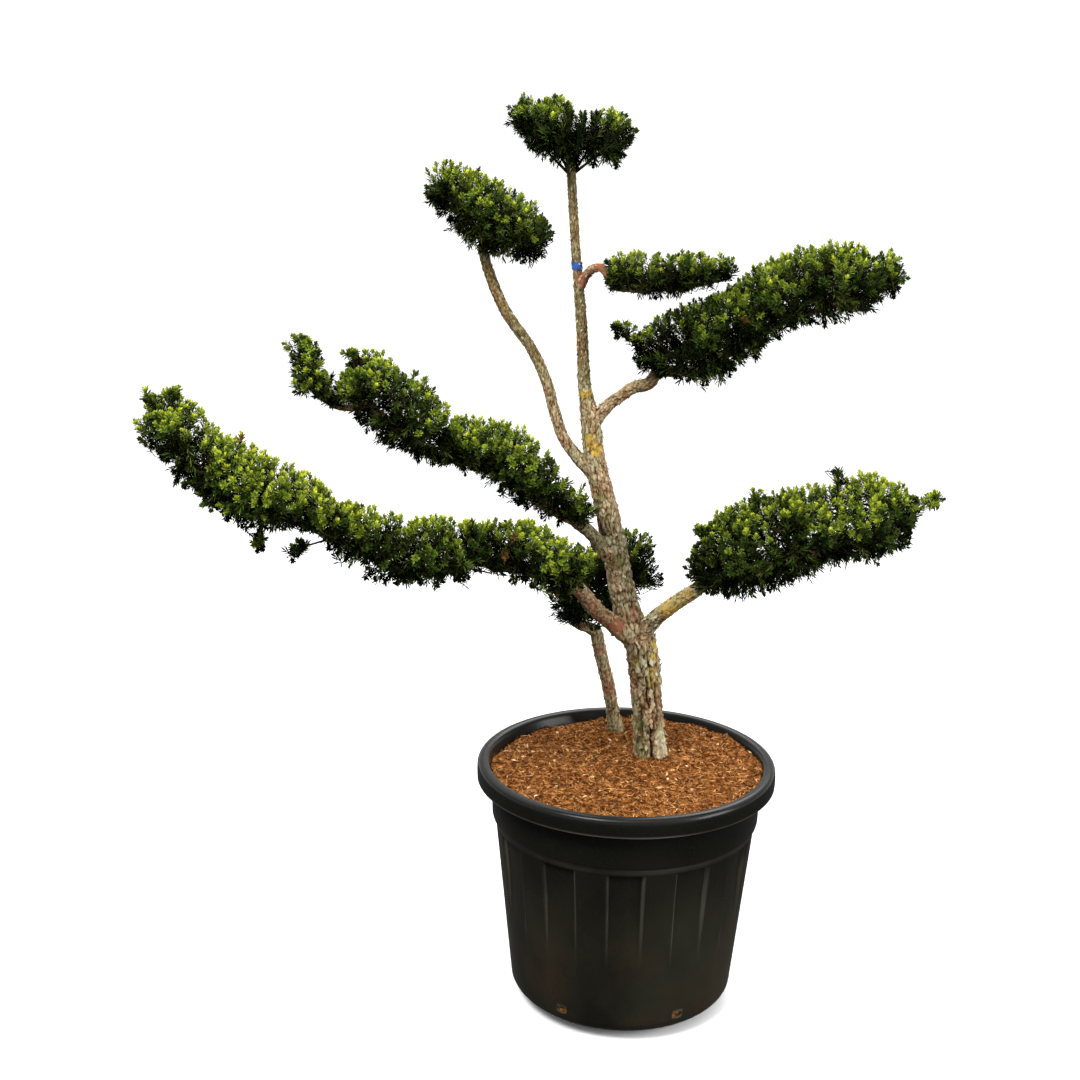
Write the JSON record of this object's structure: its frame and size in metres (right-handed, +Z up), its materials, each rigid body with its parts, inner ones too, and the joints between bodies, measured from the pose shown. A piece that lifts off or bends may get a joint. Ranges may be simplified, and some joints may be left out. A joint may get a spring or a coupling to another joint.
{
  "type": "cloud-pruned dwarf japanese yew bonsai",
  "caption": "Dwarf japanese yew bonsai with a leaning trunk and clipped cloud pads of needles on bare boughs, in a fluted black nursery pot.",
  "frame": {"origin": "middle of the pot's flat underside", "axes": "+Z up, +X to the right and -Y to the front, as the pictured side faces the viewer"},
  "size_m": [1.3385, 0.7022, 1.6719],
  "materials": {
    "pot_plastic": "satin black plastic, dusty",
    "potting_mix": "moist coir and bark fibre",
    "bark": "flaking grey-brown bark with lichen",
    "needles": "dark green needles with yellow-green tips",
    "blue_tape": "blue plastic tie"
  },
  "bodies": {
    "root": {"pot": "pot_plastic", "root_ball": "potting_mix", "trunk": "bark", "second_stem": "bark", "bough_lower_left": "bark", "bough_lower_right": "bark", "bough_middle_left": "bark", "bough_upper_left": "bark", "bough_upper_right": "bark", "bough_small_right": "bark", "tie_band": "blue_tape", "foliage_top": "needles", "foliage_upper_left": "needles", "foliage_small_right": "needles", "foliage_upper_right_inner": "needles", "foliage_upper_right_outer": "needles", "foliage_lower_right_inner": "needles", "foliage_lower_right_outer": "needles", "foliage_middle_left_inner": "needles", "foliage_middle_left_outer": "needles", "foliage_middle_left_tip": "needles", "foliage_lower_left_inner": "needles", "foliage_lower_left_mid": "needles", "foliage_lower_left_outer": "needles", "foliage_back": "needles"}
  },
  "joints": []
}
